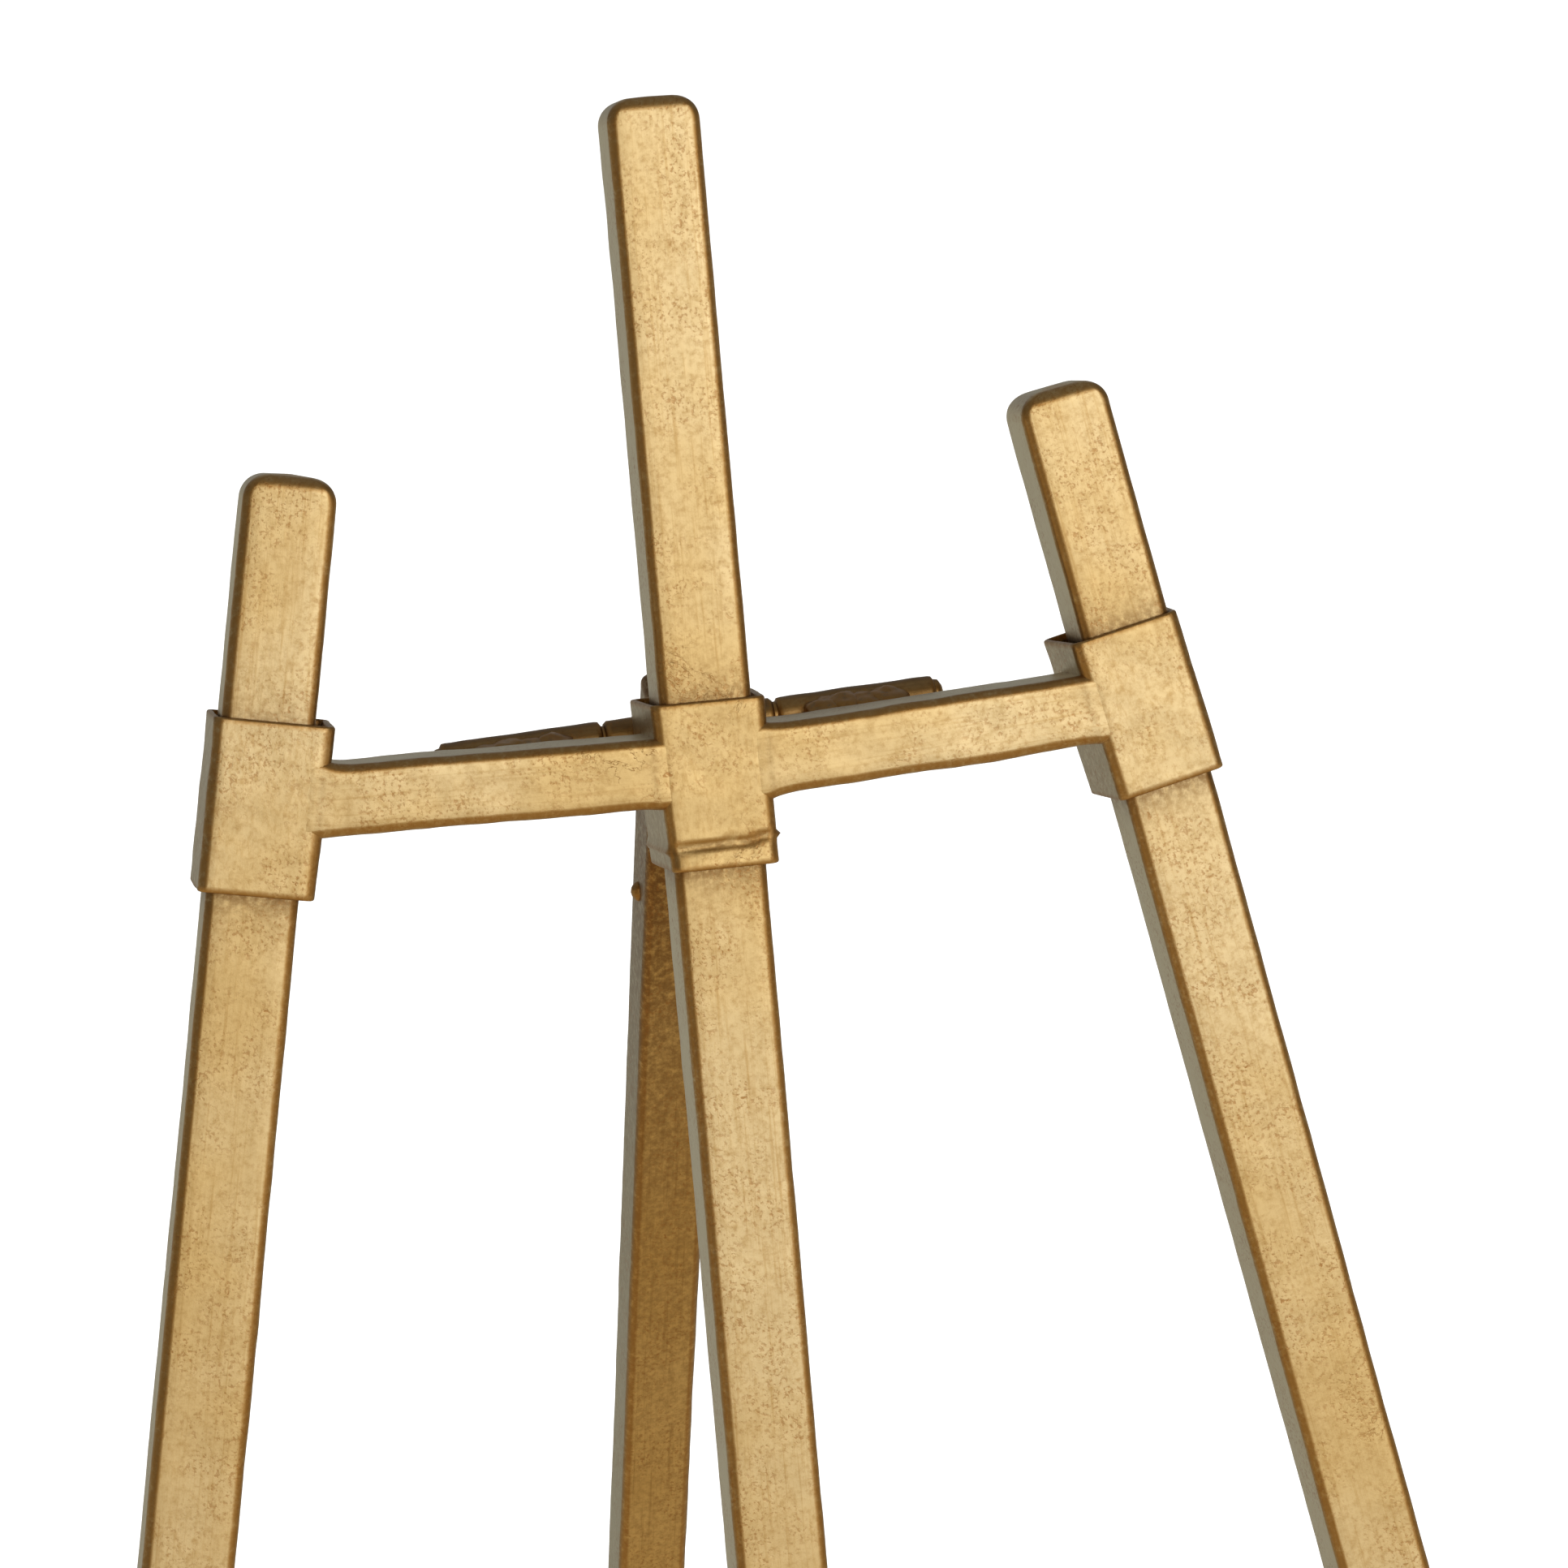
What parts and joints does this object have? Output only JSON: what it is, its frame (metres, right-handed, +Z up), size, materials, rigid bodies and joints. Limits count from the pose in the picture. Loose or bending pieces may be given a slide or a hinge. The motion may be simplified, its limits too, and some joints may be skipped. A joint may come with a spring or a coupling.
{
  "type": "display easel",
  "caption": "Folding metal floor easel with three square-tube front legs, collared crossbars, two picture rests and a hinged rear leg.",
  "frame": {"origin": "on the floor, under the centre of the object's bounding box", "axes": "+Z up; -Y towards the viewer of the displayed picture; +X to that viewer's right; the front frame leans back towards +Y"},
  "size_m": [0.6566, 0.7336, 1.2647],
  "materials": {
    "antique_gold": "antique gold metallic lacquer on steel, satin, with dark patina speckles",
    "hinge_metal": "antique gold lacquer worn to dark brown-grey round the welds",
    "foot_rubber": "matt black moulded rubber"
  },
  "bodies": {
    "front_frame": {"left_leg": "antique_gold", "centre_leg": "antique_gold", "right_leg": "antique_gold", "left_leg_cap": "antique_gold", "centre_leg_cap": "antique_gold", "right_leg_cap": "antique_gold", "centre_leg_plug": "antique_gold", "upper_left_collar": "antique_gold", "upper_centre_collar": "antique_gold", "upper_right_collar": "antique_gold", "upper_left_bar": "antique_gold", "upper_right_bar": "antique_gold", "lower_left_collar": "antique_gold", "lower_centre_collar": "antique_gold", "lower_right_collar": "antique_gold", "lower_left_bar": "antique_gold", "lower_right_bar": "antique_gold", "left_rest": "antique_gold", "right_rest": "antique_gold", "left_foot": "foot_rubber", "right_foot": "foot_rubber", "left_barrel": "hinge_metal", "right_barrel": "hinge_metal", "left_hinge_tab": "hinge_metal", "right_hinge_tab": "hinge_metal", "hinge_pin": "hinge_metal"},
    "rear_leg_assembly": {"rear_leg": "antique_gold", "rear_leg_cap": "antique_gold", "hinge_knuckle": "hinge_metal", "rear_leg_stud": "antique_gold", "rear_foot": "foot_rubber"}
  },
  "joints": [
    {"name": "rear_leg_fold", "type": "hinge", "parent": "front_frame", "child": "rear_leg_assembly", "pos_m": [0, -0.0522, 1.13017], "axis": [0.9992, 0.0097, 0.0389], "range_deg": [-33.5, 0]}
  ]
}
